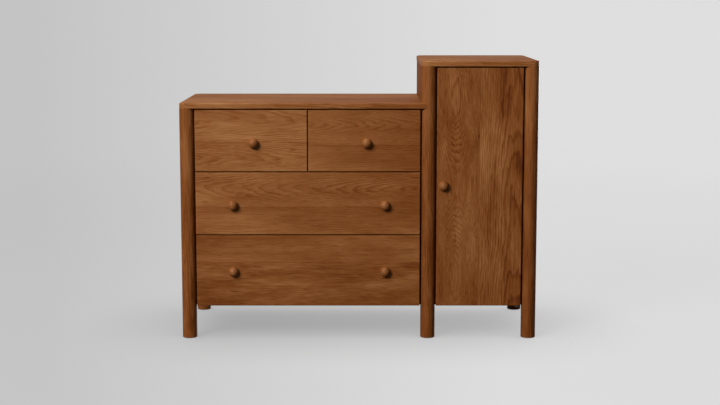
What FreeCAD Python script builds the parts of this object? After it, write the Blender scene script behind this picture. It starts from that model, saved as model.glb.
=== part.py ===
import FreeCAD, Part
import os

Vector = FreeCAD.Vector

# Case sizes in millimetres
overall_width = 1220.0
overall_depth = 512.0
leg_height = 113.0
tower_rise = 142.0
tower_bay_width = 298.0

# Posts, panels and boards
post_diameter = 50.0
post_foot_rounding = 2.5
post_head_bevel = 1.0
board_thickness = 18.0
back_thickness = 6.0
panel_recess = 2.0
panel_housing = 13.0
back_housing = 6.0
centre_panel_lip = 4.0
rail_width = 60.0

# Tops
top_thickness = 18.0
top_setback = 0.5
top_edge_rounding = 4.0

# Drawer fronts and door
top_front_height = 210.0
middle_front_height = 214.0
bottom_front_height = 245.0
front_thickness = 20.0
front_recess = 6.0
front_gap = 3.0
front_edge_rounding = 3.0
top_reveal = 5.0
case_clearance = 7.0

# Knobs: balls cut flat where they sit on the front
knob_diameter = 34.0
knob_projection = 24.0
top_knob_height = 97.5
middle_knob_height = 101.5
bottom_knob_height = 120.5
door_knob_height = 417.5
top_knob_shift = 8.0
wide_knob_inset = 123.5
wide_knob_shift = 3.5
door_knob_inset = 22.5

# Drawer boxes
box_board = 12.0
box_floor_thickness = 6.0
box_floor_rise = 12.0
box_groove = 6.0
box_lower_room = 10.0
box_upper_room = 26.0
box_back_room = 6.0

# Telescopic slides: three nested channels of bent sheet
slide_height = 45.7
slide_thickness = 12.7
slide_sheet = 1.2
slide_bend_radius = 2.0
slide_flange = 9.5
slide_play = 0.3
slide_front_room = 4.0
slide_back_room = 47.0
batten_height = 64.0

# Door pivots, catch and strike
pivot_inset = 11.0
pivot_depth = 9.0
pivot_pin_diameter = 6.0
pivot_pin_length = 14.0
pivot_running_gap = 0.08
pivot_plate_thickness = 2.5
pivot_plate_width = 20.0
pivot_plate_reach = 56.0
bush_diameter = 10.0
bush_flange_diameter = 15.0
bush_flange_thickness = 0.9
pivot_seat_gap = 0.1
catch_width = 46.0
catch_depth = 20.0
catch_height = 14.0
catch_inset = 70.0
strike_width = 40.0
strike_height = 12.0
strike_thickness = 1.2
catch_gap = 0.3

# Shelves and their pins
shelf_spacing = 256.0
shelf_gap = 1.0
pin_inset = 40.0
pin_shank_diameter = 5.0
pin_head_diameter = 8.0
pin_head_length = 9.0
pin_shank_length = 8.0
pin_flat = 2.5
pin_hole_pitch = 32.0

# Foot glides
glide_diameter = 24.0
glide_thickness = 5.0
glide_proud = 1.0
glide_bevel = 0.8

# Anti-tip screw holes in the tower's back
anchor_spacing = 200.0
anchor_hole_diameter = 5.0

# Clearances of fixed fits
groove_gap = 0.1
cope_gap = 0.2

# Places worked out from the sizes above; depth is counted back from the posts' front tangent plane
post_radius = post_diameter / 2
side_x = overall_width / 2
left_post_x = -side_x + post_radius
right_post_x = side_x - post_radius
middle_post_x = right_post_x - post_diameter - tower_bay_width
front_post_depth = post_radius
back_post_depth = overall_depth - post_radius
knob_reach = knob_projection - front_recess
front_y = (knob_reach - overall_depth) / 2

fronts_bottom = leg_height + bush_flange_thickness + pivot_seat_gap
middle_front_z = fronts_bottom + bottom_front_height + front_gap
top_front_z = middle_front_z + middle_front_height + front_gap
dresser_underside = top_front_z + top_front_height + top_reveal
tower_underside = dresser_underside + tower_rise
floor_top = leg_height + board_thickness

front_rear = front_recess + front_thickness
case_front = front_rear + case_clearance
back_front = back_post_depth - back_thickness / 2
back_rear = back_post_depth + back_thickness / 2
housing_offset = post_radius - panel_housing

left_opening = left_post_x + post_radius
middle_opening = middle_post_x - post_radius
tower_left_opening = middle_post_x + post_radius
right_opening = right_post_x - post_radius
left_inner = -side_x + panel_recess + board_thickness
centre_left = middle_opening + panel_recess
centre_right = centre_left + board_thickness
right_inner = side_x - panel_recess - board_thickness

divider_x = (left_opening + middle_opening) / 2
deck_z = top_front_z - front_gap / 2 - board_thickness / 2
rail_z = middle_front_z - front_gap / 2 - board_thickness / 2

door_left = tower_left_opening + front_gap
door_right = right_opening - front_gap
door_top = tower_underside - top_reveal
pivot_x = door_right - pivot_inset
pivot_y = front_y + front_recess + pivot_depth

slide_front = case_front + slide_front_room
slide_length = back_front - slide_back_room - slide_front
box_rear = back_front - box_back_room


# Extents of the grooved boards, each as x0, x1, depth0, depth1, z0, z1
left_panel_extents = (-side_x + panel_recess, left_inner, front_post_depth + housing_offset,
                      back_post_depth - housing_offset, leg_height, dresser_underside)
centre_panel_extents = (centre_left, centre_right, front_post_depth + housing_offset,
                        back_rear + centre_panel_lip, leg_height, tower_underside)
right_panel_extents = (right_inner, side_x - panel_recess, front_post_depth + housing_offset,
                       back_post_depth - housing_offset, leg_height, tower_underside)
dresser_back_extents = (left_opening - back_housing, centre_left + back_housing, back_front, back_rear,
                        leg_height, dresser_underside)
tower_back_extents = (centre_right - back_housing, right_opening + back_housing, back_front, back_rear,
                      leg_height, tower_underside)

# Each post: x, depth, top, and the boards that it houses
posts = {
    "front_left_post": (left_post_x, front_post_depth, dresser_underside, [left_panel_extents]),
    "back_left_post": (left_post_x, back_post_depth, dresser_underside,
                       [left_panel_extents, dresser_back_extents]),
    "front_middle_post": (middle_post_x, front_post_depth, tower_underside, [centre_panel_extents]),
    "front_right_post": (right_post_x, front_post_depth, tower_underside, [right_panel_extents]),
    "back_right_post": (right_post_x, back_post_depth, tower_underside,
                        [right_panel_extents, tower_back_extents]),
}

# Each drawer: side walls of its opening, edges of its front, front's height and place, room for its box,
# and its knobs
drawers = {
    "top_left_drawer": {
        "walls": (left_opening, divider_x - board_thickness / 2),
        "front": (left_opening + front_gap, divider_x - front_gap / 2),
        "front_z": (top_front_z, top_front_z + top_front_height),
        "room_z": (deck_z + board_thickness, dresser_underside - board_thickness),
        "knob_z": top_front_z + top_knob_height,
        "wide": False,
    },
    "top_right_drawer": {
        "walls": (divider_x + board_thickness / 2, middle_opening),
        "front": (divider_x + front_gap / 2, middle_opening - front_gap),
        "front_z": (top_front_z, top_front_z + top_front_height),
        "room_z": (deck_z + board_thickness, dresser_underside - board_thickness),
        "knob_z": top_front_z + top_knob_height,
        "wide": False,
    },
    "middle_drawer": {
        "walls": (left_opening, middle_opening),
        "front": (left_opening + front_gap, middle_opening - front_gap),
        "front_z": (middle_front_z, middle_front_z + middle_front_height),
        "room_z": (rail_z + board_thickness, deck_z),
        "knob_z": middle_front_z + middle_knob_height,
        "wide": True,
    },
    "bottom_drawer": {
        "walls": (left_opening, middle_opening),
        "front": (left_opening + front_gap, middle_opening - front_gap),
        "front_z": (fronts_bottom, fronts_bottom + bottom_front_height),
        "room_z": (floor_top, rail_z),
        "knob_z": fronts_bottom + bottom_knob_height,
        "wide": True,
    },
}


def board(extents, grow=0.0):
    """Rectangular board from its extents, larger all round by grow."""
    x0, x1, d0, d1, z0, z1 = extents
    size = (x1 - x0 + 2 * grow, d1 - d0 + 2 * grow, z1 - z0 + 2 * grow)
    return Part.makeBox(*size, Vector(x0 - grow, front_y + d0 - grow, z0 - grow))


def upright(x, y, radius, z0, z1):
    """Upright round bar."""
    return Part.makeCylinder(radius, z1 - z0, Vector(x, y, z0))


def crosswise(x, y, z, radius, length):
    """Round bar along X, to the right for a positive length and to the left for a negative one."""
    direction = Vector(1 if length > 0 else -1, 0, 0)
    return Part.makeCylinder(radius, abs(length), Vector(x, y, z), direction)


def turned(edges, x, y):
    """Solid of revolution about the upright axis at x, y from the edges of a closed profile."""
    face = Part.Face(Part.Wire(edges))
    solid = face.revolve(Vector(0, 0, 0), Vector(0, 0, 1), 360)
    solid.translate(Vector(x, y, 0))
    return solid


def post_profile(radius, rounding, bevel, z0, z1):
    """Profile of a round bar with a rounded lower rim and a bevelled upper one."""
    corner = Vector(radius - rounding, 0, z0 + rounding)
    slant = rounding * 0.5 ** 0.5
    rim = Part.Arc(Vector(radius - rounding, 0, z0), corner + Vector(slant, 0, -slant),
                   Vector(radius, 0, z0 + rounding)).toShape()
    return [
        Part.makeLine(Vector(0, 0, z0), Vector(radius - rounding, 0, z0)),
        rim,
        Part.makeLine(Vector(radius, 0, z0 + rounding), Vector(radius, 0, z1 - bevel)),
        Part.makeLine(Vector(radius, 0, z1 - bevel), Vector(radius - bevel, 0, z1)),
        Part.makeLine(Vector(radius - bevel, 0, z1), Vector(0, 0, z1)),
        Part.makeLine(Vector(0, 0, z1), Vector(0, 0, z0)),
    ]


def trimmed(solid, tools):
    """The solid less the tools, without any scrap that the cut frees."""
    result = solid.cut(tools)
    return max(result.Solids, key=lambda piece: piece.Volume)


def coped(extents):
    """Board whose ends are coped round every post that it meets."""
    rounds = [upright(x, front_y + d, post_radius + cope_gap, 0, tower_underside)
              for x, d, top, housed in posts.values()]
    return trimmed(board(extents), rounds)


def rounded(solid, radius, chosen):
    """Solid with the edges that chosen accepts rounded off."""
    return solid.makeFillet(radius, [edge for edge in solid.Edges if chosen(edge)])


def save(name, *solids):
    """One STEP file for a node, which holds one solid or a group of them."""
    shape = solids[0] if len(solids) == 1 else Part.makeCompound(list(solids))
    shape.exportStep("parts/" + name + ".step")


def make_posts():
    """Round posts that run to the floor, with grooves for the panels and a seat for the glide."""
    glides = []
    for name, (x, depth, top, housed) in posts.items():
        y = front_y + depth
        bar = turned(post_profile(post_radius, post_foot_rounding, post_head_bevel, glide_proud, top), x, y)
        seat = upright(x, y, glide_diameter / 2 + groove_gap, 0, glide_thickness)
        grooves = [board(extents, groove_gap) for extents in housed]
        save(name, trimmed(bar, [seat] + grooves))
        glides.append(foot_glide(x, y))
    save("foot_glides", *glides)


def foot_glide(x, y):
    """Glide: a disc with a bevelled lower rim."""
    disc = upright(x, y, glide_diameter / 2, 0, glide_thickness)
    rim = [edge for edge in disc.Edges if edge.BoundBox.ZMax < glide_bevel]
    return disc.makeChamfer(glide_bevel, rim)


def top_slab(x0, x1, underside, corners_x):
    """Top board with rounded plan corners at the given sides and a rounded upper edge."""
    slab = board((x0, x1, top_setback, overall_depth - top_setback, underside, underside + top_thickness))
    slab = rounded(slab, post_radius - top_setback,
                   lambda edge: abs(edge.BoundBox.ZLength - top_thickness) < 1e-6
                   and any(abs(edge.BoundBox.XMin - x) < 1e-3 for x in corners_x))
    upper = underside + top_thickness
    return rounded(slab, top_edge_rounding, lambda edge: edge.BoundBox.ZMin > upper - 1e-3)


def make_tops():
    """Dresser top, which butts the centre panel and wraps the middle post, and the tower top."""
    left = -side_x + top_setback
    right = side_x - top_setback
    slab = top_slab(left, middle_post_x, dresser_underside, [left])
    round_post = upright(middle_post_x, front_y + front_post_depth, post_radius + cope_gap,
                         0, tower_underside)
    beside_panel = board((centre_left, middle_post_x + post_radius, front_post_depth, overall_depth,
                          0, tower_underside))
    save("dresser_top", trimmed(slab, [round_post, beside_panel]))
    tower_left = middle_opening + top_setback
    save("tower_top", top_slab(tower_left, right, tower_underside, [tower_left, right]))


def shelf_levels():
    """Undersides of the two shelves."""
    return [floor_top + shelf_spacing, floor_top + 2 * shelf_spacing]


def pin_depths():
    """Depths of the front and the back row of shelf pins."""
    return [front_post_depth + post_radius + pin_inset, back_post_depth - post_radius - pin_inset]


def pin_holes(x, inwards):
    """Blind holes for shelf pins in a panel's face at x, three to each pin."""
    holes = []
    for level in shelf_levels():
        for step in (-1, 0, 1):
            for depth in pin_depths():
                z = level - pin_flat + step * pin_hole_pitch
                length = inwards * (pin_shank_length + shelf_gap)
                radius = pin_shank_diameter / 2 + groove_gap
                holes.append(crosswise(x, front_y + depth, z, radius, length))
    return holes


def make_panels():
    """Side panels housed in the posts, the shared centre panel, and the thin backs in grooves."""
    save("left_side_panel", board(left_panel_extents))
    grooves = [board(dresser_back_extents, groove_gap), board(tower_back_extents, groove_gap)]
    save("centre_panel", trimmed(board(centre_panel_extents), grooves + pin_holes(centre_right, -1)))
    save("right_side_panel", trimmed(board(right_panel_extents), pin_holes(right_inner, 1)))
    save("dresser_back", board(dresser_back_extents))
    save("tower_back", trimmed(board(tower_back_extents), anchor_holes()))


def anchor_holes():
    """Screw holes through the tower's back and rear rail, for a strap to the wall."""
    middle = (centre_right + right_inner) / 2
    z = tower_underside - rail_width / 2
    start = back_front - board_thickness - groove_gap
    length = board_thickness + back_thickness + 2 * groove_gap
    return [Part.makeCylinder(anchor_hole_diameter / 2, length, Vector(middle + side * anchor_spacing / 2,
                                                                      front_y + start, z), Vector(0, 1, 0))
            for side in (-1, 1)]


def make_case_boards():
    """Bottoms, deck, divider and rails between the panels, coped round the posts."""
    dresser = (left_inner, centre_left)
    tower = (centre_right, right_inner)
    save("dresser_bottom", coped((*dresser, case_front, back_front, leg_height, floor_top)))
    save("tower_bottom", coped((*tower, case_front, back_front, leg_height, floor_top)))
    save("drawer_deck", coped((*dresser, case_front, back_front, deck_z, deck_z + board_thickness)))
    save("drawer_divider", board((divider_x - board_thickness / 2, divider_x + board_thickness / 2,
                                  case_front, back_front,
                                  deck_z + board_thickness, dresser_underside - board_thickness)))
    save("middle_front_rail", coped((*dresser, case_front, case_front + rail_width,
                                     rail_z, rail_z + board_thickness)))
    front_flat = (case_front, case_front + rail_width)
    back_flat = (back_front - rail_width, back_front)
    back_upright = (back_front - board_thickness, back_front)
    below_dresser = (dresser_underside - board_thickness, dresser_underside)
    below_tower = (tower_underside - board_thickness, tower_underside)
    save("dresser_top_rails", coped((*dresser, *front_flat, *below_dresser)),
         coped((*dresser, *back_flat, *below_dresser)))
    strap_rail = coped((*tower, *back_upright, tower_underside - rail_width, tower_underside))
    save("tower_top_rails", coped((*tower, *front_flat, *below_tower)), trimmed(strap_rail, anchor_holes()))


def make_shelves():
    """Two shelves on pins, each cut round the back right post."""
    shelves = []
    pins = []
    for level in shelf_levels():
        plank = board((centre_right + shelf_gap, right_inner - shelf_gap,
                       front_post_depth + post_radius + shelf_gap, back_front - shelf_gap,
                       level, level + board_thickness))
        corner = upright(right_post_x, front_y + back_post_depth, post_radius + shelf_gap,
                         0, tower_underside)
        shelves.append(trimmed(plank, [corner]))
        for depth in pin_depths():
            pins.append(shelf_pin(centre_right, depth, level, 1))
            pins.append(shelf_pin(right_inner, depth, level, -1))
    save("tower_shelves", *shelves)
    save("shelf_pins", *pins)


def shelf_pin(x, depth, level, outwards):
    """Turned pin with a flat on its head, which the shelf lies on."""
    y = front_y + depth
    z = level - pin_flat
    shank = crosswise(x, y, z, pin_shank_diameter / 2, -outwards * pin_shank_length)
    head = crosswise(x, y, z, pin_head_diameter / 2, outwards * pin_head_length)
    above = Part.makeBox(2 * pin_head_length, pin_head_diameter, pin_head_diameter,
                         Vector(x - pin_head_length, y - pin_head_diameter / 2, level))
    return trimmed(shank.fuse(head), [above])


def knob(x, z):
    """Turned ball cut flat at its seat, standing on the face of a front."""
    radius = knob_diameter / 2
    centre = knob_projection - radius
    seat = (radius ** 2 - centre ** 2) ** 0.5
    ball = Part.Arc(Vector(seat, 0, 0), Vector(radius, 0, centre), Vector(0, 0, knob_projection)).toShape()
    profile = [
        Part.makeLine(Vector(0, 0, 0), Vector(seat, 0, 0)),
        ball,
        Part.makeLine(Vector(0, 0, knob_projection), Vector(0, 0, 0)),
    ]
    solid = turned(profile, 0, 0)
    solid.rotate(Vector(0, 0, 0), Vector(1, 0, 0), 90)
    solid.translate(Vector(x, front_y + front_recess, z))
    return solid


def front_board(x0, x1, z0, z1):
    """Drawer front or door: a thick board with its face edges rounded."""
    face_y = front_y + front_recess
    solid = board((x0, x1, front_recess, front_rear, z0, z1))
    return rounded(solid, front_edge_rounding, lambda edge: edge.BoundBox.YMax < face_y + 1e-3)


def channel(wall_x, side, near, far, half_height, web_near, z):
    """Bent channel along the depth: its flanges run from near to far, off a wall, towards side."""
    sheet = slide_sheet
    web = (near, near + sheet) if web_near else (far - sheet, far)
    inner = web[1] if web_near else web[0]
    outer, tip = (near, far) if web_near else (far, near)
    points = [(outer, -half_height), (tip, -half_height), (tip, sheet - half_height),
              (inner, sheet - half_height), (inner, half_height - sheet), (tip, half_height - sheet),
              (tip, half_height), (outer, half_height)]
    corners = [Vector(wall_x + side * w, front_y + slide_front, z + h) for w, h in points]
    face = Part.Face(Part.makePolygon(corners + corners[:1]))
    solid = face.extrude(Vector(0, slide_length, 0))
    back_x = wall_x + side * outer
    return rounded(solid, slide_bend_radius,
                   lambda edge: edge.BoundBox.YLength > slide_length / 2
                   and abs(edge.BoundBox.XMin - back_x) < 1e-3)


def slide_members(wall_x, side, z):
    """Cabinet, intermediate and drawer member of one slide, nested with a running gap."""
    step = slide_sheet + slide_play
    half = slide_height / 2
    cabinet = channel(wall_x, side, 0, slide_flange, half, True, z)
    middle = channel(wall_x, side, step, slide_thickness - step, half - step, True, z)
    runner = channel(wall_x, side, slide_thickness - slide_flange, slide_thickness, half - 2 * step, False, z)
    return cabinet, middle, runner


def make_drawer(name, drawer):
    """Drawer with its box, front, knobs and slides; gives back what stays on the case."""
    left_wall, right_wall = drawer["walls"]
    x0 = left_wall + slide_thickness
    x1 = right_wall - slide_thickness
    z0 = drawer["room_z"][0] + box_lower_room
    z1 = drawer["room_z"][1] - box_upper_room
    save(name + "_front", front_board(*drawer["front"], *drawer["front_z"]))

    tongue = box_groove - cope_gap
    floor_extents = (x0 + box_board - tongue, x1 - box_board + tongue, front_rear + box_board - tongue,
                     box_rear - box_board + tongue, z0 + box_floor_rise,
                     z0 + box_floor_rise + box_floor_thickness)
    groove = board(floor_extents, groove_gap)
    left = board((x0, x0 + box_board, front_rear, box_rear, z0, z1))
    right = board((x1 - box_board, x1, front_rear, box_rear, z0, z1))
    inner = (x0 + box_board, x1 - box_board)
    front_end = board((*inner, front_rear, front_rear + box_board, z0, z1))
    back_end = board((*inner, box_rear - box_board, box_rear, z0, z1))
    save(name + "_sides", left.cut(groove), right.cut(groove))
    save(name + "_ends", front_end.cut(groove), back_end.cut(groove))
    save(name + "_floor", board(floor_extents))

    front_left, front_right = drawer["front"]
    if drawer["wide"]:
        places = [front_left + wide_knob_inset + wide_knob_shift,
                  front_right - wide_knob_inset + wide_knob_shift]
    else:
        places = [(front_left + front_right) / 2 + top_knob_shift]
    save(name + ("_knobs" if drawer["wide"] else "_knob"), *[knob(x, drawer["knob_z"]) for x in places])

    slide_z = (z0 + z1) / 2
    left_slide = slide_members(left_wall, 1, slide_z)
    right_slide = slide_members(right_wall, -1, slide_z)
    save(name + "_intermediates", left_slide[1], right_slide[1])
    save(name + "_runners", left_slide[2], right_slide[2])
    return [left_slide[0], right_slide[0]], slide_z


def make_drawers():
    """All drawers, with the cabinet slide members and the battens that pack them out from the panels."""
    members = []
    battens = []
    depths = (front_post_depth + post_radius + cope_gap, back_post_depth - post_radius - cope_gap)
    for name, drawer in drawers.items():
        fixed, slide_z = make_drawer(name, drawer)
        members += fixed
        heights = (slide_z - batten_height / 2, slide_z + batten_height / 2)
        if drawer["walls"][0] == left_opening:
            battens.append(board((left_inner, left_opening, *depths, *heights)))
        if drawer["walls"][1] == middle_opening:
            battens.append(board((middle_opening, centre_left, *depths, *heights)))
    save("slide_cabinet_members", *members)
    save("slide_battens", *battens)


def pivot_plate(plate_z, reach, pin_z):
    """Plate with a round nose about the door's axis, and the pin that stands on it towards pin_z."""
    radius = pivot_plate_width / 2
    nose = upright(pivot_x, pivot_y, radius, plate_z, plate_z + pivot_plate_thickness)
    arm = Part.makeBox(pivot_plate_width, reach, pivot_plate_thickness,
                       Vector(pivot_x - radius, pivot_y, plate_z))
    low = min(pin_z, plate_z)
    high = max(pin_z, plate_z + pivot_plate_thickness)
    pin = upright(pivot_x, pivot_y, pivot_pin_diameter / 2, low, high)
    return nose.fuse([arm, pin]).removeSplitter()


def pivot_bush(edge_z, inwards):
    """Flanged bush in the door's upper or lower edge, round the pivot pin."""
    depth = pivot_pin_length
    low, high = sorted((edge_z - inwards * bush_flange_thickness, edge_z + inwards * depth))
    flange_low, flange_high = sorted((edge_z - inwards * bush_flange_thickness, edge_z))
    sleeve = upright(pivot_x, pivot_y, bush_diameter / 2, low, high)
    flange = upright(pivot_x, pivot_y, bush_flange_diameter / 2, flange_low, flange_high)
    bore = upright(pivot_x, pivot_y, pivot_pin_diameter / 2 + pivot_running_gap, low, high)
    return trimmed(sleeve.fuse(flange), [bore])


def make_door():
    """Door on a pin at its top and bottom edge, with its bushes, knob, strike plate and catch."""
    bore = bush_diameter / 2 + groove_gap
    depth = pivot_pin_length + groove_gap
    bores = [upright(pivot_x, pivot_y, bore, fronts_bottom, fronts_bottom + depth),
             upright(pivot_x, pivot_y, bore, door_top - depth, door_top)]
    save("door_panel", trimmed(front_board(door_left, door_right, fronts_bottom, door_top), bores))
    save("door_pivot_bushes", pivot_bush(fronts_bottom, 1), pivot_bush(door_top, -1))
    save("door_knob", knob(door_left + door_knob_inset, fronts_bottom + door_knob_height))

    reach_above = case_front - front_recess - pivot_depth - cope_gap
    lower = pivot_plate(leg_height - pivot_plate_thickness, pivot_plate_reach,
                        fronts_bottom + pivot_pin_length - cope_gap)
    upper = pivot_plate(tower_underside - pivot_plate_thickness, reach_above,
                        door_top - pivot_pin_length + cope_gap)
    save("door_pivot_plates", lower, upper)

    catch_x = door_left + catch_inset
    under_rail = tower_underside - board_thickness
    strike_z = under_rail - catch_height / 2
    save("door_strike", board((catch_x - strike_width / 2, catch_x + strike_width / 2, front_rear,
                               front_rear + strike_thickness, strike_z - strike_height / 2,
                               strike_z + strike_height / 2)))
    catch_front = front_rear + strike_thickness + catch_gap
    save("door_catch", board((catch_x - catch_width / 2, catch_x + catch_width / 2, catch_front,
                              catch_front + catch_depth, under_rail - catch_height, under_rail)))


os.makedirs("parts", exist_ok=True)
make_posts()
make_tops()
make_panels()
make_case_boards()
make_shelves()
make_drawers()
make_door()
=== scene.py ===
# %% [markdown]
# # A dresser tower in stained wood
# A low chest of drawers and a taller cabinet share one case of warm brown wood, with round corner posts and
# ball knobs. The solids come from CAD and stay exactly where they are. This lesson gives them a camera, soft
# studio light, wood that was cut from logs, and the small screws that hold such a piece together.

# %% Load the solids
import math

import bpy
from mathutils import Matrix, Vector


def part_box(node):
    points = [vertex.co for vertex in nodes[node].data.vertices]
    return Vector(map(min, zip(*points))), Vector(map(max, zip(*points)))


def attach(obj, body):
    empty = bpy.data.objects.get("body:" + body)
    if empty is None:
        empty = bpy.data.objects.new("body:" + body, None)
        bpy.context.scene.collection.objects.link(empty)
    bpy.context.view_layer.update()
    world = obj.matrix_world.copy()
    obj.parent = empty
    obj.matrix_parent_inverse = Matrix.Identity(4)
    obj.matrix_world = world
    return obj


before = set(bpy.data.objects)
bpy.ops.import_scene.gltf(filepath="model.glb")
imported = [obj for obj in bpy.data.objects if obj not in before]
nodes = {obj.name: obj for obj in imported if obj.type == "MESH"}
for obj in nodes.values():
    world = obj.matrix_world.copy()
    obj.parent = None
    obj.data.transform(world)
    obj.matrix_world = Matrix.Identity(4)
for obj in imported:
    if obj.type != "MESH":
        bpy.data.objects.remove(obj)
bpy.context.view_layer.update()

# %% [markdown]
# ## The camera
# The picture was taken from straight in front, a little above the tower, with a long lens: the sides hardly
# open up, and the tops show as narrow bands. The lens and the place below were worked out from the edges of
# the posts and tops, so the solids fall where the photograph has them.

# %% Camera
LENS_MM = 72.745
CAMERA_PLACE = (0.0037, -5.155, 1.161)
CAMERA_TILT = math.radians(7.969)

bpy.ops.object.select_all(action="DESELECT")
bpy.ops.object.camera_add(location=CAMERA_PLACE, rotation=(math.pi / 2 - CAMERA_TILT, 0, 0))
camera = bpy.context.object
camera.data.lens = LENS_MM
bpy.context.scene.camera = camera
print("camera", round(-CAMERA_PLACE[1], 2), "m in front of the middle of the dresser")

# %% [markdown]
# ## Small helpers for node trees
# A material is a small chain of nodes. Adding one node by hand takes four or five lines, so a few helpers
# do it. The first adds a node and joins its inputs: an input that is a socket becomes a link, and any other
# value is typed into the field. The others use it for one sum, for the length of a vector, for taking a value
# from one span to another, and for a colour ramp.

# %% Node helpers
STOPS_AT_FIRST = 2


def add_node(tree, kind, inputs=None, **settings):
    """One shader node with its settings; inputs holds a value or a socket for each input."""
    made = tree.nodes.new("ShaderNode" + kind)
    for key, value in settings.items():
        setattr(made, key, value)
    for key, value in (inputs or {}).items():
        if isinstance(value, bpy.types.NodeSocket):
            tree.links.new(value, made.inputs[key])
        else:
            made.inputs[key].default_value = value
    return made


def calc(tree, operation, first, second=0.0):
    """The result of one sum on two values."""
    return add_node(tree, "Math", {0: first, 1: second}, operation=operation).outputs[0]


def vector_calc(tree, operation, first, second):
    """The result of one sum on two vectors."""
    return add_node(tree, "VectorMath", {0: first, 1: second}, operation=operation).outputs["Vector"]


def length(tree, vector):
    """How long a vector is."""
    return add_node(tree, "VectorMath", {0: vector}, operation="LENGTH").outputs["Value"]


def remap(tree, value, source, target):
    """A value taken from one span to another, held at the ends."""
    spans = {0: value, 1: source[0], 2: source[1], 3: target[0], 4: target[1]}
    return add_node(tree, "MapRange", spans).outputs[0]


def ramp(tree, value, stops):
    """The colour that a ramp gives a value; each stop is a place and a grey level or a colour."""
    made = add_node(tree, "ValToRGB", {"Fac": value})
    elements = made.color_ramp.elements
    for index, (place, level) in enumerate(stops):
        stop = elements[index] if index < STOPS_AT_FIRST else elements.new(place)
        stop.position = place
        stop.color = level if isinstance(level, tuple) else (level, level, level, 1)
    return made.outputs["Color"]


print("node helpers ready; a new ramp starts with", STOPS_AT_FIRST, "stops")

# %% [markdown]
# ## Opening and closing a material
# Every finish below starts with an empty node tree and ends at the material's output. Blender fills a new
# tree with a plain shader, which would only be in the way, so it is cleared first. A solid that gets its
# finish is ticked off, so that none is forgotten.

# %% Material helpers
dressed = set()


def new_material(name):
    """An empty material; gives back the material and its tree."""
    material = bpy.data.materials.new(name)
    material.use_nodes = True
    material.node_tree.nodes.clear()
    return material, material.node_tree


def close_material(tree, shader):
    """Joins the last shader node to the material's output."""
    output = tree.nodes.new("ShaderNodeOutputMaterial")
    tree.links.new(shader.outputs[0], output.inputs["Surface"])


def dress(node, material):
    """Gives a solid its finish and ticks it off."""
    slots = nodes[node].data.materials
    slots.clear()
    slots.append(material)
    dressed.add(node)


print("solids to dress:", len(nodes) - len(dressed))

# %% [markdown]
# ## Floor and background
# The object stands on a round pale floor that fades out into the background, so it can be seen from all sides
# and no edge shows. A floor that only takes lamp light would be too dark or its shadow too hard, so most of
# its brightness is a glow that only the camera and reflections see. An Ambient Occlusion node dims the glow
# where the object stands close above, which gives the even shadow under the case. The background grows paler
# from left to right. The glow does the same along lines that fan out from a point in front, so that the two
# meet without a step.

# %% Floor
FLOOR_RADIUS = 9.0
FLOOR_SIDES = 96
FLOOR_FADE = (1.6, 6.0)
FLOOR_PAINT = (0.05, 0.05, 0.05, 1)
BACKGROUND = (0.55, 0.735)
BACKGROUND_SPAN = (-0.22, 0.10)
FLOOR_SHARE = 0.91
GLOW_FAN = -5.155
GLOW_NEAREST = 1.5
SHADOW_REACH = 0.45
SHADOW_DEPTH = 0.60
SHADOW_SAMPLES = 16


def seen_rays(tree):
    """1 for rays from the camera and for those that a mirror or a glass sends on, 0 for light itself."""
    path = add_node(tree, "LightPath")
    straight = calc(tree, "MAXIMUM", path.outputs["Is Camera Ray"], path.outputs["Is Glossy Ray"])
    return calc(tree, "MAXIMUM", straight, path.outputs["Is Transmission Ray"])


def floor_glow(tree, coords):
    """How strongly the floor glows at a place, dimmed near the object."""
    place = add_node(tree, "SeparateXYZ", {0: coords}).outputs
    away = calc(tree, "MAXIMUM", calc(tree, "SUBTRACT", place["Y"], GLOW_FAN), GLOW_NEAREST)
    level = remap(tree, calc(tree, "DIVIDE", place["X"], away), BACKGROUND_SPAN, BACKGROUND)
    glow = calc(tree, "MULTIPLY", level, FLOOR_SHARE)
    open_sky = add_node(tree, "AmbientOcclusion", {"Distance": SHADOW_REACH}, samples=SHADOW_SAMPLES)
    light = remap(tree, open_sky.outputs["AO"], (0, 1), (SHADOW_DEPTH, 1))
    return calc(tree, "MULTIPLY", glow, light)


def floor_material():
    """Pale paint with a glow that only the camera and reflections see, fading out with distance."""
    material, tree = new_material("pale_floor")
    coords = add_node(tree, "TexCoord").outputs["Object"]
    strength = calc(tree, "MULTIPLY", floor_glow(tree, coords), seen_rays(tree))
    paint = add_node(tree, "BsdfDiffuse", {"Color": FLOOR_PAINT}).outputs[0]
    shown = add_node(tree, "Emission", {"Strength": strength}).outputs[0]
    surface = add_node(tree, "AddShader", {0: paint, 1: shown}).outputs[0]
    gone = remap(tree, length(tree, coords), FLOOR_FADE, (0, 1))
    clear = add_node(tree, "BsdfTransparent").outputs[0]
    close_material(tree, add_node(tree, "MixShader", {0: gone, 1: surface, 2: clear}))
    return material


bpy.ops.object.select_all(action="DESELECT")
bpy.ops.mesh.primitive_circle_add(vertices=FLOOR_SIDES, radius=FLOOR_RADIUS, fill_type="NGON")
floor = bpy.context.object
floor.name = "pale_floor"
floor.data.materials.append(floor_material())
print("floor", 2 * FLOOR_RADIUS, "m wide")

# %% [markdown]
# ## Studio light
# The fronts are brightest at the upper left and fall off to the lower right, and the right flanks of the
# posts are nearly black. One large soft lamp high on the left in front does that. A weak lamp near the camera
# fills in, and one overhead brings up the tops. One more lamp stands far off behind on the right, to keep
# the back and the right side readable. It is set lower than the tops, which would otherwise mirror it.

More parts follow.
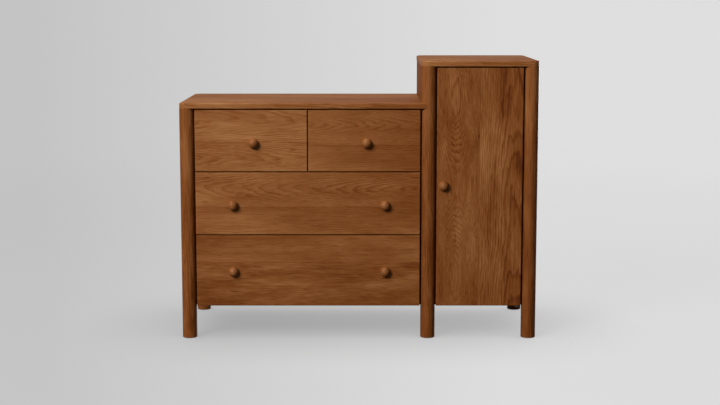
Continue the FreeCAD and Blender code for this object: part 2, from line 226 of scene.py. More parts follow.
# %% Lamps
LAMPS = {
    "key_lamp": {"place": (-5.0, -6.8, 5.5), "aim": (0.0, -0.2, 0.5), "watts": 1150.0, "size": 4.0},
    "fill_lamp": {"place": (-0.6, -3.6, 1.2), "aim": (0.0, 0.0, 0.5), "watts": 3.0, "size": 2.6},
    "overhead_lamp": {"place": (-0.2, -0.3, 3.4), "aim": (-0.1, 0.0, 0.8), "watts": 40.0, "size": 1.8},
    "rear_lamp": {"place": (3.9, 6.9, 0.40), "aim": (0.0, 0.2, 0.40), "watts": 365.0, "size": 0.8},
}


def soft_lamp(name, place, aim, watts, size):
    """A square soft box that points at aim."""
    bpy.ops.object.light_add(type="AREA", location=place)
    lamp = bpy.context.object
    lamp.name = name
    lamp.rotation_euler = (Vector(aim) - Vector(place)).to_track_quat("-Z", "Y").to_euler()
    lamp.data.energy = watts
    lamp.data.size = size


for name, lamp_values in LAMPS.items():
    soft_lamp(name, **lamp_values)
print("lamps:", ", ".join(LAMPS))

# %% [markdown]
# ## The room
# The room itself gives only a little even light. The background that the camera and reflections see is a
# separate, paler value, which adds nothing to the light on the wood. Higher up it is dimmer, so that the tops
# don't mirror a white ceiling.

# %% Room
ROOM_LIGHT = 0.075
CEILING_SPAN = (0.03, 0.25)
CEILING_DIM = 0.45


def light_room(tree):
    """A weak even light, and a backdrop for the camera and for reflections."""
    sight = add_node(tree, "TexCoord").outputs["Generated"]
    direction = add_node(tree, "SeparateXYZ", {0: sight}).outputs
    backdrop = remap(tree, direction["X"], BACKGROUND_SPAN, BACKGROUND)
    ceiling = remap(tree, direction["Z"], CEILING_SPAN, (1, CEILING_DIM))
    seen = seen_rays(tree)
    shown = calc(tree, "MULTIPLY", calc(tree, "MULTIPLY", backdrop, ceiling), seen)
    light = remap(tree, seen, (0, 1), (ROOM_LIGHT, 0))
    tree.links.new(calc(tree, "ADD", shown, light), tree.nodes["Background"].inputs["Color"])


room = bpy.data.worlds.new("studio_room")
room.use_nodes = True
light_room(room.node_tree)
bpy.context.scene.world = room
bpy.context.scene.view_settings.view_transform = "Standard"
print("room light", ROOM_LIGHT, "and background", BACKGROUND)

# %% [markdown]
# ## Wood that was cut from a log
# A flat picture of grain would slide over edges, so the wood here is solid: a log with growth rings round
# its heart, from which each board is sawn. Where a board lies nearly along the rings, the saw cuts pointed
# arches; where it lies across them, straight lines. So every board only needs the place of its log's heart
# and how far the log leans. All of this works in the log's own frame, with X along the trunk.
# The rings wobble, and they fade in and out along the trunk. Both come from noise, which is set by the number
# of features to the metre along the trunk and across it, and by a level of detail. The reach says how far the
# noise swings to either side.

# %% Growth rings
RINGS_PER_METRE = 250.0
RING_PROFILE = [(0.0, 0.0), (0.5, 0.2), (0.80, 1.0), (0.90, 0.85), (1.0, 0.0)]
BROAD_WOBBLE = {"noise": (2.6, 13.0, 2.0), "reach": 0.009}
SMALL_WOBBLE = {"noise": (14.0, 80.0, 3.0), "reach": 0.0026}
FADING_NOISE = (3.0, 20.0, 1.0)
FADING_SPAN = (0.3, 0.7)
FADING_LEVELS = (0.25, 1)


def grain_noise(tree, place, along, across, detail):
    """Noise drawn out along the trunk, with about that many features to the metre."""
    drawn = vector_calc(tree, "MULTIPLY", place, (along, across, across))
    return add_node(tree, "TexNoise", {"Vector": drawn, "Scale": 1.0, "Detail": detail}).outputs[0]


def swing(tree, value, reach):
    """Noise from 0 to 1 as a swing of up to reach to either side."""
    return add_node(tree, "MapRange", {0: value, 3: -reach, 4: reach}, clamp=False).outputs[0]


def layer(tree, place, kind):
    """One layer of noise with its own reach."""
    return swing(tree, grain_noise(tree, place, *kind["noise"]), kind["reach"])


def ring_lines(tree, place):
    """Growth rings: their distance from the heart, wobbled, as a repeated soft line that comes and goes."""
    radius = length(tree, vector_calc(tree, "MULTIPLY", place, (0, 1, 1)))
    bent = calc(tree, "ADD", radius, layer(tree, place, BROAD_WOBBLE))
    wobbled = calc(tree, "ADD", bent, layer(tree, place, SMALL_WOBBLE))
    turn = calc(tree, "FRACT", calc(tree, "MULTIPLY", wobbled, RINGS_PER_METRE))
    fade = remap(tree, grain_noise(tree, place, *FADING_NOISE), FADING_SPAN, FADING_LEVELS)
    return calc(tree, "MULTIPLY", ramp(tree, turn, RING_PROFILE), fade)


print("rings", 1000 / RINGS_PER_METRE, "mm wide")

# %% [markdown]
# ## The whole log
# Over the rings lie clouds of tone, bands, streaks, fine fibres and a few dark flecks, each a layer of noise
# of its own. Their sum is one value, the shade, which each finish turns into its own colours. All boards
# share the same sum, so it is a node group: written once and used in every wood.

# %% The log
RING_DEPTH = -0.38
CLOUDS = {"noise": (6.0, 28.0, 2.0), "reach": 0.32}
BANDS = {"noise": (1.5, 85.0, 2.0), "reach": 0.10}
STREAKS = {"noise": (18.0, 300.0, 2.0), "reach": 0.20}
FIBRES = {"noise": (30.0, 640.0, 3.0), "reach": 0.26}
FLECK_NOISE = (14.0, 240.0, 1.0)
FLECK_EDGE = (0.66, 0.80)
FLECK_DEPTH = -0.42
LOG_INPUTS = {"Place": "Vector", "Tone": "Float", "Drift": "Vector", "Figure": "Float"}
LOG_OUTPUTS = {"Shade": "Float", "Fibre": "Float"}


def make_log():
    """The group that turns a place in the log into a shade of wood and a fine fibre relief."""
    tree = bpy.data.node_groups.new("sawn_log", "ShaderNodeTree")
    for way, sockets in (("INPUT", LOG_INPUTS), ("OUTPUT", LOG_OUTPUTS)):
        for name, kind in sockets.items():
            tree.interface.new_socket(name, in_out=way, socket_type="NodeSocket" + kind)
    start = tree.nodes.new("NodeGroupInput").outputs
    end = tree.nodes.new("NodeGroupOutput").inputs
    place = start["Place"]
    fibre = grain_noise(tree, place, *FIBRES["noise"])
    flecks = remap(tree, grain_noise(tree, place, *FLECK_NOISE), FLECK_EDGE, (0, FLECK_DEPTH))
    figure = calc(tree, "MULTIPLY", ring_lines(tree, place), RING_DEPTH)
    for kind in (CLOUDS, BANDS, STREAKS):
        figure = calc(tree, "ADD", figure, layer(tree, place, kind))
    for part in (swing(tree, fibre, FIBRES["reach"]), flecks):
        figure = calc(tree, "ADD", figure, part)
    drift = add_node(tree, "VectorMath", {0: place, 1: start["Drift"]}, operation="DOT_PRODUCT")
    plain = calc(tree, "ADD", start["Tone"], drift.outputs["Value"])
    shade = calc(tree, "ADD", plain, calc(tree, "MULTIPLY", figure, start["Figure"]))
    tree.links.new(shade, end["Shade"])
    tree.links.new(fibre, end["Fibre"])
    return tree


log = make_log()
print("log group with", len(log.nodes), "nodes")

# %% [markdown]
# ## What a board is
# A board says where the heart of its log lies and how far the log leans, and the grain says which way the
# trunk runs. The tone may drift along or across the trunk, counted from the heart, and the heart may sway to
# and fro, which bends the arches. A pool is a soft oval of paler or darker wood, as a stain brings it out.
# Painting such patches by hand would need a picture, and an oval that goes right through the board does as
# well.

# %% Boards and pools
POOL_DEPTH = 10.0
GRAIN_TURNS = {
    "across": lambda lean: (0, 0, lean),
    "flat": lambda lean: (0, lean, 0),
    "up": lambda lean: (0, lean - math.pi / 2, math.pi / 2),
    "through": lambda lean: (0, lean, math.pi / 2),
}


def board(heart, lean, tone, drift=(0, 0, 0), sway=(0, 0, 0), figure=1.0, pools=()):
    """One board of a log: where the heart lies, how far it leans in degrees, how its tone drifts to the metre
    along and across the trunk, how far the heart sways to and fro along it, how strong the figure is, and
    where it has pools of paler or darker wood."""
    return {"heart": heart, "lean": math.radians(lean), "tone": tone, "drift": drift, "sway": sway,
            "figure": figure, "pools": pools}


def pool(x, z, reach_x, reach_z, change):
    """A soft oval on a front, right through the board: its middle, its reach and its change of tone."""
    return {"middle": (x, 0, z), "reach": (reach_x, POOL_DEPTH, reach_z), "change": change}


print("grain can run", ", ".join(GRAIN_TURNS))

# %% [markdown]
# ## Sawing and gluing
# The Mapping node in Texture mode takes a board literally: its location is the heart and its rotation turns
# the trunk. Fronts and tops are glued from two boards, as a step in tone shows, so a material can hold two
# boards with a fine dark seam between. Two separate solids would show an edge there, which the real piece
# doesn't have.

# %% Sawing and gluing
SWAY_LENGTH = 0.62
SEAM = (0.0006, 0.0018)
SEAM_TONE = -0.10
POOL_EDGE = (0.3, 1.0)


def board_tone(tree, coords, cut):
    """The tone of one board with its pools."""
    tone = cut["tone"]
    for spot in cut["pools"]:
        inputs = {"Vector": coords, "Location": spot["middle"], "Scale": spot["reach"]}
        inside = add_node(tree, "Mapping", inputs, vector_type="TEXTURE").outputs[0]
        change = remap(tree, length(tree, inside), POOL_EDGE, (spot["change"], 0))
        tone = calc(tree, "ADD", tone, change)
    return tone


def saw_board(tree, coords, grain, cut):
    """Places in the log's own frame for a board whose grain runs that way."""
    turn = GRAIN_TURNS[grain](cut["lean"])
    inputs = {"Vector": coords, "Location": cut["heart"], "Rotation": turn}
    place = add_node(tree, "Mapping", inputs, vector_type="TEXTURE").outputs[0]
    if not any(cut["sway"]):
        return place
    trunk = add_node(tree, "SeparateXYZ", {0: place}).outputs["X"]
    wave = calc(tree, "COSINE", calc(tree, "MULTIPLY", trunk, 2 * math.pi / SWAY_LENGTH))
    shift = add_node(tree, "VectorMath", {0: cut["sway"], "Scale": wave}, operation="SCALE").outputs[0]
    return vector_calc(tree, "ADD", place, shift)


def pick_vector(tree, side, pair):
    """The first vector of a pair where side is 0, the second where it is 1."""
    return add_node(tree, "Mix", {0: side, 4: pair[0], 5: pair[1]}, data_type="VECTOR").outputs[1]


def glue_boards(tree, coords, grain, boards, joint):
    """The log group's inputs for the board that a point belongs to; joint is an axis name and a position."""
    places = [saw_board(tree, coords, grain, cut) for cut in boards]
    tones = [board_tone(tree, coords, cut) for cut in boards]
    drifts = [cut["drift"] for cut in boards]
    figures = [cut["figure"] for cut in boards]
    if joint is None:
        return {"Place": places[0], "Tone": tones[0], "Drift": drifts[0], "Figure": figures[0]}
    axis, border = joint
    past = calc(tree, "SUBTRACT", add_node(tree, "SeparateXYZ", {0: coords}).outputs[axis], border)
    side = calc(tree, "GREATER_THAN", past, 0)
    seam = remap(tree, calc(tree, "ABSOLUTE", past), SEAM, (SEAM_TONE, 0))
    return {
        "Place": pick_vector(tree, side, places),
        "Tone": calc(tree, "ADD", remap(tree, side, (0, 1), tones), seam),
        "Drift": pick_vector(tree, side, drifts),
        "Figure": remap(tree, side, (0, 1), figures),
    }


print("a seam is", 2000 * SEAM[1], "mm wide")

# %% [markdown]
# ## Stain and gloss
# The stain turns the shade of the wood into a colour, from a deep red brown to a light tan. Dark wood is also
# a little duller than pale wood, and the fibres stand up a fraction of a millimetre, so one value drives
# colour and roughness, and another drives the relief.

# %% Stained wood
STAINED = [
    (0.0, (0.085, 0.019, 0.0022, 1)), (0.285, (0.155, 0.0435, 0.0070, 1)), (0.5, (0.208, 0.0703, 0.0180, 1)),
    (0.7, (0.266, 0.105, 0.0325, 1)), (1.0, (0.355, 0.163, 0.0610, 1)),
]
SATIN = {"roughness": (0.60, 0.50), "specular": 0.08}
MATT = {"roughness": (0.70, 0.60), "specular": 0.04}
POLISHED = {"roughness": (0.50, 0.40), "specular": 0.14}
FIBRE_RELIEF = 0.12
FIBRE_HEIGHT = 0.0004


def wood(name, grain, boards, joint=None, colours=STAINED, gloss=SATIN):
    """A wood material: boards sawn and glued, coloured by shade, with a fine fibre relief."""
    material, tree = new_material(name)
    coords = add_node(tree, "TexCoord").outputs["Object"]
    cut = add_node(tree, "Group", glue_boards(tree, coords, grain, boards, joint), node_tree=log).outputs
    relief = {"Strength": FIBRE_RELIEF, "Distance": FIBRE_HEIGHT, "Height": cut["Fibre"]}
    close_material(tree, add_node(tree, "BsdfPrincipled", {
        "Base Color": ramp(tree, cut["Shade"], colours),
        "Roughness": remap(tree, cut["Shade"], (0, 1), gloss["roughness"]),
        "Normal": add_node(tree, "Bump", relief).outputs[0],
        "Specular IOR Level": gloss["specular"],
    }))
    return material


def dress_in_wood(node, grain, boards, **finish):
    """Gives a solid a wood of its own, named after it."""
    dress(node, wood(node + "_wood", grain, boards, **finish))


print("stain with", len(STAINED), "colours")

# %% [markdown]
# ## Drawer fronts and door
# Each front shows two boards, and the figure of each differs: on the right top drawer the arches point right,
# on the middle drawer they point left, and on the door one tall arch stands in the left board. The heart lies
# some centimetres behind the face, and the lean says which way the arches point and how close they follow
# each other. A few pools stand for the patches that catch the eye, such as the pale one beside the door's
# joint.

# %% Fronts
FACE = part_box("door_panel")[0].y

PALE_BY_KNOB = pool(x=-0.46, z=0.712, reach_x=0.12, reach_z=0.045, change=0.10)
PALE_LEFT_END = pool(x=-0.43, z=0.395, reach_x=0.12, reach_z=0.050, change=0.09)
DARK_BAND = pool(x=-0.05, z=0.212, reach_x=0.18, reach_z=0.045, change=-0.10)
PALE_LOW_EDGE = pool(x=-0.27, z=0.150, reach_x=0.14, reach_z=0.050, change=0.11)
PALE_LOW_ARCHES = pool(x=0.360, z=0.360, reach_x=0.06, reach_z=0.190, change=0.12)
PALE_BY_JOINT = pool(x=0.455, z=0.640, reach_x=0.07, reach_z=0.150, change=0.13)
DARK_HEAD = pool(x=0.465, z=0.860, reach_x=0.06, reach_z=0.140, change=-0.16)
DARK_FOOT = pool(x=0.470, z=0.140, reach_x=0.14, reach_z=0.090, change=-0.14)

FRONTS = {
    "top_left_drawer_front": ("across", ("Z", 0.680), [
        board((-0.33, FACE + 0.05, 0.622), lean=3.0, tone=0.70, drift=(0.40, 0, -1.0), figure=0.85),
        board((-0.30, FACE + 0.11, 0.760), lean=2.0, tone=0.666, drift=(0.15, 0, -1.1), figure=0.85,
              pools=[PALE_BY_KNOB]),
    ]),
    "top_right_drawer_front": ("across", ("Z", 0.669), [
        board((0.05, FACE + 0.16, 0.520), lean=-1.5, tone=0.64, drift=(-0.55, 0, -1.5), figure=0.6),
        board((0.02, FACE + 0.036, 0.737), lean=4.2, tone=0.522, drift=(-0.55, 0, 0), figure=0.68),
    ]),
    "middle_drawer_front": ("across", ("Z", 0.458), [
        board((-0.10, FACE + 0.06, 0.300), lean=-1.0, tone=0.72, drift=(-0.17, 0, -1.6), figure=0.85,
              pools=[PALE_LEFT_END]),
        board((-0.12, FACE + 0.040, 0.520), lean=-4.0, tone=0.545, drift=(-0.24, 0, 0), figure=0.85),
    ]),
    "bottom_drawer_front": ("across", ("Z", 0.266), [
        board((-0.10, FACE + 0.02, -0.020), lean=1.0, tone=0.36, drift=(0.05, 0, 0.7), figure=1.2,
              pools=[DARK_BAND, PALE_LOW_EDGE]),
        board((-0.10, FACE + 0.05, 0.500), lean=-1.0, tone=0.33, drift=(0.12, 0, -1.2), figure=0.85),
    ]),
    "door_panel": ("up", ("X", 0.410), [
        board((0.331, FACE + 0.045, 0.530), lean=0.5, tone=0.495, drift=(0.08, 0, 0), sway=(0, 0, 0.02),
              figure=1.05, pools=[PALE_LOW_ARCHES]),
        board((0.540, FACE + 0.16, 0.500), lean=1.5, tone=0.44, drift=(-0.05, 1.4, 0), figure=1.2,
              pools=[PALE_BY_JOINT, DARK_HEAD, DARK_FOOT]),
    ]),
}
for node, (grain, joint, boards) in FRONTS.items():
    dress_in_wood(node, grain, boards, joint=joint)
print("fronts:", ", ".join(FRONTS))

# %% [markdown]
# ## Posts and panels
# Posts are turned from straight stock, so their grain runs up with hardly any figure, and the panels run up
# as the posts do. Each piece comes from a log of its own, so no two repeat: a post's heart lies beside and
# behind it, a panel's close to its middle, and each is set a step further than the one before.

# %% Posts and panels
# Each post's drift paints it darker towards the floor: painted shade for light that falls off downwards.
POSTS = {
    "front_left_post": {"tone": 0.44, "drift": (0.12, 0, 0)},
    "back_left_post": {"tone": 0.46, "drift": (0.12, 0, 0)},
    "front_middle_post": {"tone": 0.36, "drift": (0.18, 0, 0)},
    "front_right_post": {"tone": 0.39, "drift": (0.24, 0, 0)},
    "back_right_post": {"tone": 0.46, "drift": (0.12, 0, 0)},
}
POST_HEART = Vector((-0.07, 0.12, 0.3))
POST_STEP = Vector((-0.02, 0, 0))
POST_LEAN = 0.8
# The centre panel's tone is set lower than the sides': painted shade for the dim strip of it beside the
# tower.
PANELS = {"left_side_panel": 0.46, "centre_panel": 0.42, "right_side_panel": 0.50}
PANEL_HEART = Vector((0.06, 0.02, 0.4))
PANEL_STEP = Vector((0, 0.05, 0))
PANEL_LEAN = 2.5

for index, (node, stock) in enumerate(POSTS.items()):
    low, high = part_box(node)
    heart = Vector((low.x, high.y, 0)) + POST_HEART + index * POST_STEP
    dress_in_wood(node, "up", [board(heart, POST_LEAN, **stock)])

for index, (node, tone) in enumerate(PANELS.items()):
    low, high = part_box(node)
    heart = Vector(((low.x + high.x) / 2, 0, 0)) + PANEL_HEART + index * PANEL_STEP
    dress_in_wood(node, "up", [board(heart, PANEL_LEAN, tone)], gloss=MATT)
print("posts:", len(POSTS), "panels:", len(PANELS))

# %% [markdown]
# ## Tops
# Each top is glued from a front and a back plank that run along the width. The front plank's tone drifts
# darker
# towards the right: painted shade, added to the lamps' own fall of light from the upper left.

# %% Tops
TOPS = {"dresser_top": -0.30, "tower_top": 0.40}
PLANK_JOINT = ("Y", 0.02)
FRONT_HEART = Vector((0, -0.10, -0.07))
BACK_HEART = Vector((-0.2, 0.18, -0.09))

for node, heart_x in TOPS.items():
    surface = Vector((heart_x, 0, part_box(node)[1].z))
    # The front plank's drift paints it darker towards the right: painted shade.
    front_plank = board(surface + FRONT_HEART, lean=1.5, tone=0.63, drift=(-0.42, 0, 0))
    back_plank = board(surface + BACK_HEART, lean=-2.0, tone=0.66)
    dress_in_wood(node, "flat", [front_plank, back_plank], joint=PLANK_JOINT)
print("tops:", ", ".join(TOPS))

# %% [markdown]
# ## Knobs
# A ball knob is turned on a lathe with the grain along its axis, so its front shows end grain. The lathe and
# many hands polish it, so it is glossier than the boards, and a soft light sits at its upper left.

# %% Knobs
KNOBS = [node for node in nodes if node.endswith(("_knob", "_knobs"))]
KNOB_HEART = Vector((-0.03, 0, -0.05))
KNOB_STEP = Vector((0, 0, -0.01))

for index, node in enumerate(KNOBS):
    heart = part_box(node)[0] + KNOB_HEART + index * KNOB_STEP
    dress_in_wood(node, "through", [board(heart, lean=2.0, tone=0.575)], gloss=POLISHED)
print("knobs:", ", ".join(KNOBS))

# %% [markdown]
# ## Inside the case
# What the fronts hide is plainer: bottoms, deck, divider, rails, battens and shelves are flat boards with the
# same stain. Nobody compares them side by side, so they share one cut, and only the heart moves a little from
# board to board.

# %% Case boards
CASE_BOARDS = ["dresser_bottom", "tower_bottom", "drawer_deck", "drawer_divider", "middle_front_rail",
               "dresser_top_rails", "tower_top_rails", "slide_battens", "tower_shelves"]
CASE_HEART = Vector((0.2, 0.05, -0.10))
CASE_STEP = Vector((0, 0, -0.01))

for index, node in enumerate(CASE_BOARDS):
    heart = Vector((0, 0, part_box(node)[0].z)) + CASE_HEART + index * CASE_STEP
    dress_in_wood(node, "flat", [board(heart, lean=1.5, tone=0.52)])
print("case boards:", len(CASE_BOARDS))

# %% [markdown]
# ## Drawer boxes and backs
# Drawer boxes are pale wood under a clear coat, and the backs are thin boards of a browner wood, so both take
# the same log with other colours. A box's sides, ends and floor and the two backs are told apart by the ends
# of their names, so one loop dresses all of them.

# %% Drawer boxes and backs
PALE = [(0.0, (0.33, 0.19, 0.085, 1)), (0.5, (0.50, 0.32, 0.165, 1)), (1.0, (0.66, 0.46, 0.27, 1))]
THIN = [(0.0, (0.13, 0.052, 0.017, 1)), (0.5, (0.25, 0.115, 0.043, 1)), (1.0, (0.38, 0.20, 0.09, 1))]
SIDE_HEART = Vector((-0.06, 0, -0.03))
END_HEART = Vector((0, -0.07, -0.03))
FLOOR_HEART = Vector((0, 0.02, -0.09))
THIN_HEART = Vector((0.3, -0.12, 0.4))

for node in nodes:
    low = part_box(node)[0]
    if node.endswith("_sides"):
        side = board(Vector((low.x, 0, low.z)) + SIDE_HEART, lean=1.5, tone=0.57)
        dress_in_wood(node, "through", [side], colours=PALE)
    elif node.endswith("_ends"):
        end = board(Vector((0, low.y, low.z)) + END_HEART, lean=1.5, tone=0.55)
        dress_in_wood(node, "across", [end], colours=PALE)
    elif node.endswith("_floor"):
        drawer_floor = board(Vector((0, 0, low.z)) + FLOOR_HEART, lean=1.0, tone=0.60)
        dress_in_wood(node, "flat", [drawer_floor], colours=PALE)
    elif node.endswith("_back"):
        thin_back = board(Vector((low.x, low.y, 0)) + THIN_HEART, lean=1.5, tone=0.53)
        dress_in_wood(node, "up", [thin_back], colours=THIN)
print("solids in wood:", len(dressed))

# %% [markdown]
# ## Steel
# Shelf pins, strike and screws are zinc plated: a bluish grey metal with fine rolling lines and a cloudy,
# uneven gloss. Noise that is squeezed across and drawn out along Y gives the lines, and plain noise the
# clouds.

# %% Zinc-plated steel
ZINC_PLATED = ("door_strike", "shelf_pins")
ZINC = [(0.0, (0.42, 0.43, 0.44, 1)), (1.0, (0.62, 0.63, 0.64, 1))]
ROLLING_LINES = (1400.0, 9.0, 1400.0)
ROLLING_DETAIL = 2.0
CLOUD_SCALE = 60.0
CLOUD_DETAIL = 3.0
ZINC_SPAN = (0.6, 1.4)
ZINC_ROUGHNESS = (0.26, 0.44)


def zinc_steel():
    """Zinc-plated sheet with rolling lines along its length."""
    material, tree = new_material("zinc_steel")
    coords = add_node(tree, "TexCoord").outputs["Object"]
    lines = vector_calc(tree, "MULTIPLY", coords, ROLLING_LINES)
    rolled = add_node(tree, "TexNoise", {"Vector": lines, "Scale": 1.0, "Detail": ROLLING_DETAIL}).outputs[0]
    cloudy = {"Vector": coords, "Scale": CLOUD_SCALE, "Detail": CLOUD_DETAIL}
    bloom = add_node(tree, "TexNoise", cloudy).outputs[0]
    close_material(tree, add_node(tree, "BsdfPrincipled", {
        "Base Color": ramp(tree, bloom, ZINC),
        "Metallic": 1.0,
        "Roughness": remap(tree, calc(tree, "ADD", rolled, bloom), ZINC_SPAN, ZINC_ROUGHNESS),
    }))
    return material


steel = zinc_steel()
for node in ZINC_PLATED:
    dress(node, steel)
print("zinc plated:", ", ".join(ZINC_PLATED))

# %% [markdown]
# ## Black coat and moulded plastic
# The slides and pivot plates have a thin black coat, so nothing glints in the gaps beside the fronts. Bushes,
# glides and the catch are dark moulded plastic. Both kinds have a fine grain that shifts colour, gloss and
# relief together, so one function makes them, with a coarser grain for the coat.

# %% Coat and plastic
GRAIN_DETAIL = 2.0
GRAIN_HEIGHT = 0.0001
COAT = {"scale": 420.0, "relief": 0.15, "roughness": (0.48, 0.62)}
COAT_COLOURS = [(0.3, (0.0045, 0.004, 0.0038, 1)), (0.7, (0.010, 0.009, 0.0085, 1))]
PLASTIC = {"scale": 900.0, "relief": 0.2, "roughness": (0.5, 0.65)}
NYLON_COLOURS = [(0.2, (0.018, 0.012, 0.008, 1)), (0.8, (0.034, 0.024, 0.016, 1))]
CATCH_COLOURS = [(0.2, (0.034, 0.016, 0.008, 1)), (0.8, (0.055, 0.028, 0.014, 1))]


def grained_surface(name, colours, scale, relief, roughness):
    """A dull dark surface whose fine grain shifts colour, gloss and relief."""
    material, tree = new_material(name)
    coords = add_node(tree, "TexCoord").outputs["Object"]
    grain = add_node(tree, "TexNoise", {"Vector": coords, "Scale": scale, "Detail": GRAIN_DETAIL}).outputs[0]
    bump = {"Strength": relief, "Distance": GRAIN_HEIGHT, "Height": grain}
    close_material(tree, add_node(tree, "BsdfPrincipled", {
        "Base Color": ramp(tree, grain, colours),
        "Roughness": remap(tree, grain, (0, 1), roughness),
        "Normal": add_node(tree, "Bump", bump).outputs[0],
    }))
    return material


coated = grained_surface("black_steel", COAT_COLOURS, **COAT)
nylon = grained_surface("dark_nylon", NYLON_COLOURS, **PLASTIC)
slide_members = [node for node in nodes if node.endswith(("_runners", "_intermediates"))]
for node in [*slide_members, "slide_cabinet_members", "door_pivot_plates"]:
    dress(node, coated)
for node in ("door_pivot_bushes", "foot_glides"):
    dress(node, nylon)
dress("door_catch", grained_surface("brown_catch_plastic", CATCH_COLOURS, **PLASTIC))
print("solids without a finish:", sorted(set(nodes) - dressed))

# %% [markdown]
# ## One screw
# Screws hold the backs, the slides, the fronts, the knobs, the catch and the pivot plates. They show when a
# drawer is out, when the door is open, and from behind, so one head is modelled and copied. Its cross recess
# is cut by two tapered blocks. A picture of a cross would do from afar, but not when a drawer is out.

# %% Selecting and cutting
HEAD_RADIUS = 0.0035
HEAD_HEIGHT = 0.0020
RECESS_LENGTH = 0.0044
RECESS_WIDTH = 0.0011
RECESS_DEPTH = 0.0012
RECESS_TAPER = 0.5


def select_by_place(piece, chosen):
    """In edit mode, selects the edges whose two ends both pass the test."""
    bpy.context.tool_settings.mesh_select_mode = (False, True, False)
    bpy.ops.mesh.select_all(action="DESELECT")
    bpy.ops.object.mode_set(mode="OBJECT")
    spots = [chosen(corner.co) for corner in piece.data.vertices]
    for edge in piece.data.edges:
        edge.select = all(spots[end] for end in edge.vertices)
    bpy.ops.object.mode_set(mode="EDIT")


def cut_recess(head, size):
    """Cuts one tapered block out of the head's top; size is its length along X and Y."""
    bpy.ops.object.select_all(action="DESELECT")
    bpy.ops.mesh.primitive_cube_add(size=1, location=(0, 0, HEAD_HEIGHT))
    block = bpy.context.object
    bpy.ops.transform.resize(value=(size[0], size[1], 2 * RECESS_DEPTH))
    bpy.ops.object.mode_set(mode="EDIT")
    select_by_place(block, lambda corner: corner.z < 0)
    bpy.ops.transform.resize(value=(RECESS_TAPER, RECESS_TAPER, 1))
    bpy.ops.object.mode_set(mode="OBJECT")
    bpy.ops.object.select_all(action="DESELECT")
    head.select_set(True)
    bpy.context.view_layer.objects.active = head
    slot_cut = head.modifiers.new("recess", "BOOLEAN")
    slot_cut.object = block
    slot_cut.solver = "EXACT"
    bpy.ops.object.modifier_apply(modifier="recess")
    bpy.data.objects.remove(block)


print("screw head", 2000 * HEAD_RADIUS, "mm wide")

# %% [markdown]
# ## The pan head
# A pan head is a short cylinder whose upper rim is rounded into a low dome. A ball cut in half would stand
# too high, so the rim of a cylinder is bevelled in a few steps instead, and then the cross is cut.

# %% A pan-head screw
HEAD_SIDES = 24
RIM_SHARE = 0.9
DOME_SHARE = 0.65
DOME_STEPS = 3
SMOOTH_ANGLE = math.radians(35)


def model_screw():
    """One screw head that stands on the XY plane and looks up along Z."""
    bpy.ops.object.select_all(action="DESELECT")
    bpy.ops.mesh.primitive_cylinder_add(vertices=HEAD_SIDES, radius=HEAD_RADIUS, depth=HEAD_HEIGHT,
                                        location=(0, 0, HEAD_HEIGHT / 2))
    head = bpy.context.object
    bpy.ops.object.transform_apply(location=True, rotation=True, scale=True)
    bpy.ops.object.mode_set(mode="EDIT")
    select_by_place(head, lambda corner: corner.z > RIM_SHARE * HEAD_HEIGHT)
    bpy.ops.mesh.bevel(offset=DOME_SHARE * HEAD_HEIGHT, segments=DOME_STEPS, affect="EDGES")
    bpy.ops.object.mode_set(mode="OBJECT")
    cut_recess(head, (RECESS_LENGTH, RECESS_WIDTH))
    cut_recess(head, (RECESS_WIDTH, RECESS_LENGTH))
    bpy.ops.object.shade_smooth_by_angle(angle=SMOOTH_ANGLE)
    return head


screw = model_screw()
print("screw head with", len(screw.data.polygons), "faces")

# %% [markdown]
# ## Driving the screws
# Each place is a point on a board or a sheet and the way the head looks. All places are read from the boxes
# of the solids, so a screw always sits on what it holds. No two neighbours stop at the same turn of the
# driver. Those that move together are joined to one piece, which rides on its body.

# %% Driving
TURN_STEP = 0.9
KNOB_RADIUS = 0.017
LEFT = Vector((-1, 0, 0))
RIGHT = Vector((1, 0, 0))
BACK = Vector((0, 1, 0))
DOWN = Vector((0, 0, -1))


def drive(name, body, places, height=1.0):
    """Copies of the screw at each point and direction, joined to one piece that rides on that body."""
    copies = []
    for index, (point, way) in enumerate(places):
        bpy.ops.object.select_all(action="DESELECT")
        screw.select_set(True)
        bpy.context.view_layer.objects.active = screw
        bpy.ops.object.duplicate(linked=False)
        copy = bpy.context.object
        turn = way.to_track_quat("Z", "Y").to_matrix().to_4x4() @ Matrix.Rotation(TURN_STEP * index, 4, "Z")
        copy.matrix_world = Matrix.Translation(point) @ turn @ Matrix.Diagonal((1, 1, height, 1))
        copies.append(copy)
    for copy in copies:
        copy.select_set(True)
    bpy.context.view_layer.objects.active = copies[0]
    if len(copies) > 1:
        bpy.ops.object.join()
    bpy.ops.object.transform_apply(location=True, rotation=True, scale=True)
    piece = bpy.context.object
    piece.name = name
    piece.data.name = name
    piece.data.materials.clear()
    piece.data.materials.append(steel)
    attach(piece, body)
    print(name, len(places))


def knob_spots(node):
    """The x and z of each knob in a node of one or two."""
    low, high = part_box(node)
    columns = [(low.x + high.x) / 2]
    if node.endswith("_knobs"):
        columns = [low.x + KNOB_RADIUS, high.x - KNOB_RADIUS]
    return [(x, (low.z + high.z) / 2) for x in columns]


print("a screw's next neighbour is turned by", round(math.degrees(TURN_STEP)), "degrees")

# %% [markdown]
# ## Screws of the drawers
# Three screws go through each runner into the drawer's side, one goes through the box's front end into each
# knob, and four more hold the front to that end.

# %% Screws of the drawers
RUNNER_HOLES = (0.035, 0.160, 0.330)
INNER_SHEET = 0.0083
END_BOARD = 0.012
FRONT_SCREW_IN = 0.045
FRONT_SCREW_UP = 0.040
FRONT_SCREW_DOWN = 0.030

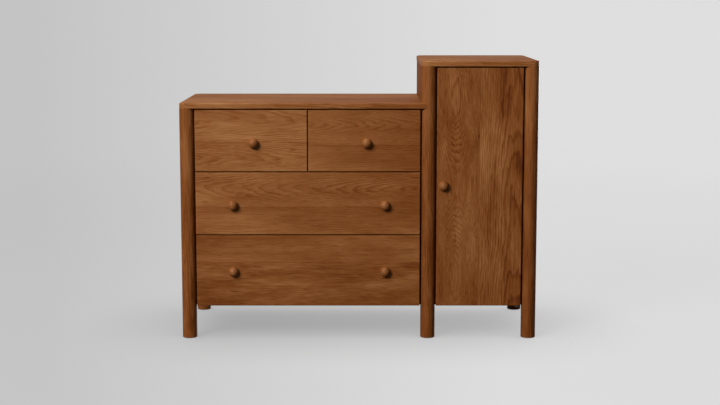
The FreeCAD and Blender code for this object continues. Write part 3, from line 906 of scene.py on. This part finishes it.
for drawer in ("top_left_drawer", "top_right_drawer", "middle_drawer", "bottom_drawer"):
    low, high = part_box(drawer + "_runners")
    height = (low.z + high.z) / 2
    places = []
    for hole in RUNNER_HOLES:
        places.append((Vector((low.x + INNER_SHEET, low.y + hole, height)), LEFT))
        places.append((Vector((high.x - INNER_SHEET, low.y + hole, height)), RIGHT))
    low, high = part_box(drawer + "_ends")
    inside = low.y + END_BOARD
    knob_node = drawer + ("_knob" if drawer.startswith("top") else "_knobs")
    places += [(Vector((x, inside, z)), BACK) for x, z in knob_spots(knob_node)]
    for x in (low.x + FRONT_SCREW_IN, high.x - FRONT_SCREW_IN):
        for z in (low.z + FRONT_SCREW_UP, high.z - FRONT_SCREW_DOWN):
            places.append((Vector((x, inside, z)), BACK))
    drive(drawer + "_screws", drawer, places)

# %% [markdown]
# ## Screws of the door and the case
# One screw holds the door's knob from behind. The backs are screwed round their edges and along the middle of
# the wide one. The catch and the lower pivot plate are screwed from below, and the upper plate has one thin
# head under it, because the door passes close by.

# %% Screws of the door and the case
BACK_SCREWS = {"dresser_back": (5, 3), "tower_back": (3, 2)}
BACK_SIDE_MARGIN = 0.03
BACK_END_MARGIN = 0.014
CATCH_SCREW_IN = 0.006
LOWER_PLATE_HOLES = (0.039, 0.057)
UPPER_PLATE_HOLE = 0.022
PLATE_SHEET = 0.0025
THIN_HEAD = 0.35


def spread(low, high, margin, count):
    """That many places from one edge to the other, evenly, the first and the last a margin inside."""
    step = (high - low - 2 * margin) / (count - 1)
    return [low + margin + step * index for index in range(count)]


door_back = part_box("door_panel")[1].y
drive("door_knob_screw", "door", [(Vector((x, door_back, z)), BACK) for x, z in knob_spots("door_knob")])

back_places = []
for node, (columns, rows) in BACK_SCREWS.items():
    low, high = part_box(node)
    for x in spread(low.x, high.x, BACK_SIDE_MARGIN, columns):
        for z in spread(low.z, high.z, BACK_END_MARGIN, rows):
            back_places.append((Vector((x, high.y, z)), BACK))
drive("back_screws", "case", back_places)

low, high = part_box("door_catch")
middle = (low.y + high.y) / 2
catch_columns = (low.x + CATCH_SCREW_IN, high.x - CATCH_SCREW_IN)
under_places = [(Vector((x, middle, low.z)), DOWN) for x in catch_columns]
low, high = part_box("door_pivot_plates")
centre = (low.x + high.x) / 2
under_places += [(Vector((centre, low.y + hole, low.z)), DOWN) for hole in LOWER_PLATE_HOLES]
drive("catch_and_pivot_screws", "case", under_places)
upper_place = Vector((centre, low.y + UPPER_PLATE_HOLE, high.z - PLATE_SHEET))
drive("upper_pivot_screw", "case", [(upper_place, DOWN)], height=THIN_HEAD)
bpy.data.objects.remove(screw)
